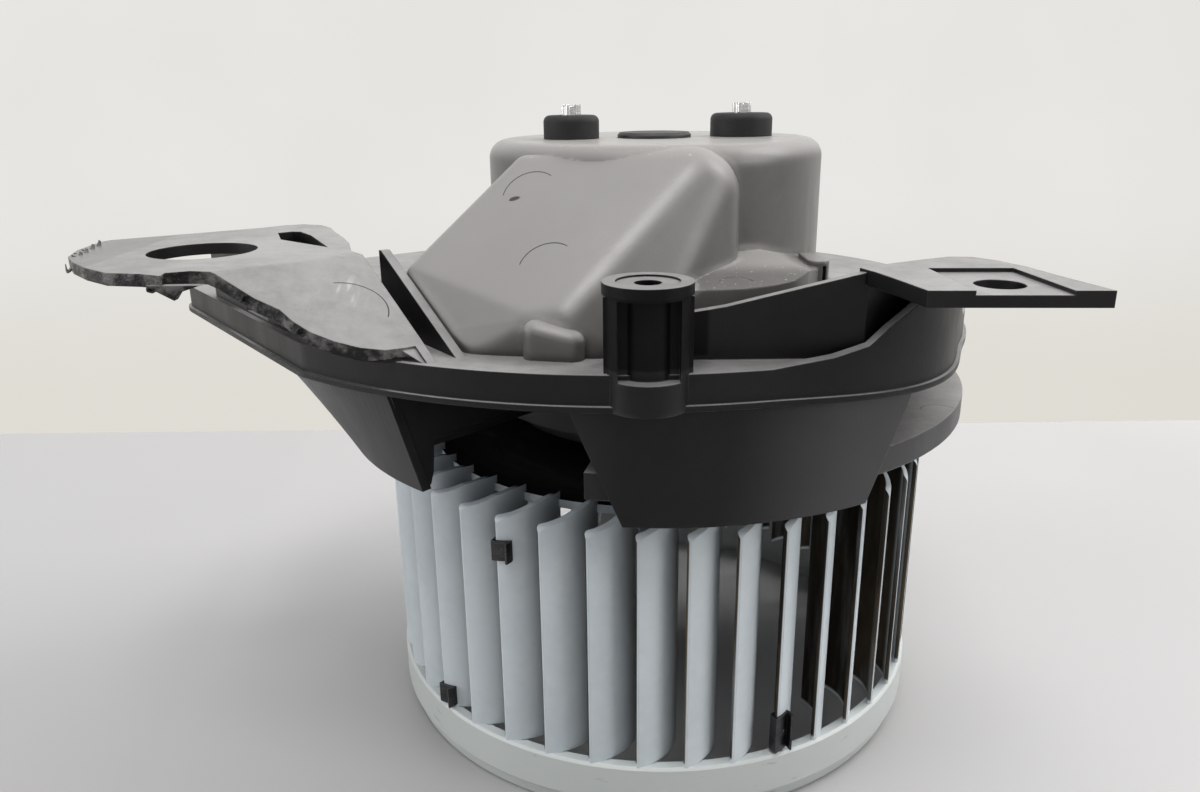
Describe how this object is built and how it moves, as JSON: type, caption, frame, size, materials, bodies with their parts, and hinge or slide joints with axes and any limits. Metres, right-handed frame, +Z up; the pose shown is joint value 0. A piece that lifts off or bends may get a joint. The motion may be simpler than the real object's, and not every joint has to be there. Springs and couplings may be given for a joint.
{
  "type": "car cabin blower motor",
  "caption": "Car cabin blower: a white forward-curved fan wheel hanging from a black moulded flange, with a grey motor cap, a cooling-air hood and an electric motor inside.",
  "frame": {"origin": "centre of the lower face of the fan wheel's inlet ring, on the shaft's axis", "axes": "+Z up the shaft from the wheel's inlet towards the motor, +X to the right seen from the side of the cooling-air hood, +Y away from that side"},
  "size_m": [0.2149, 0.1734, 0.1572],
  "materials": {
    "black_plastic": "moulded, fine grain",
    "grey_plastic": "moulded, satin",
    "white_plastic": "moulded, satin",
    "black_rubber": "moulded",
    "bright_steel": "drawn",
    "zinc_plated_steel": "zinc plated",
    "spring_steel": "blackened",
    "lamination_steel": "stacked sheet, lacquered",
    "ferrite": "ground",
    "carbon": "pressed carbon",
    "copper": "lacquered",
    "tinned_brass": "tinned",
    "sintered_bronze": "sintered, oiled",
    "washer_plastic": "moulded"
  },
  "bodies": {
    "housing": {"flange_housing": "black_plastic", "motor_cover": "grey_plastic", "motor_can": "zinc_plated_steel", "end_plate": "black_plastic", "magnet_left": "ferrite", "magnet_right": "ferrite", "brush_left": "carbon", "brush_right": "carbon", "brush_spring_left": "spring_steel", "brush_spring_right": "spring_steel", "choke_left": "copper", "choke_right": "copper", "lower_bearing": "sintered_bronze", "upper_bearing": "sintered_bronze", "isolator_ring": "black_rubber", "damper_left": "black_rubber", "damper_right": "black_rubber", "stud_left": "bright_steel", "stud_right": "bright_steel", "centre_plug": "black_plastic", "connector_socket": "black_plastic", "terminal_blades": "tinned_brass"},
    "rotor": {"impeller": "white_plastic", "shaft": "bright_steel", "armature_core": "lamination_steel", "armature_windings": "copper", "commutator": "copper", "thrust_washers": "washer_plastic", "hub_clip": "spring_steel", "balance_clip_1": "spring_steel", "balance_clip_2": "spring_steel", "balance_clip_3": "spring_steel"}
  },
  "joints": [
    {"name": "fan_spin", "type": "hinge", "parent": "housing", "child": "rotor", "pos_m": [0, 0, 0], "axis": [0, 0, 1], "continuous": true}
  ]
}
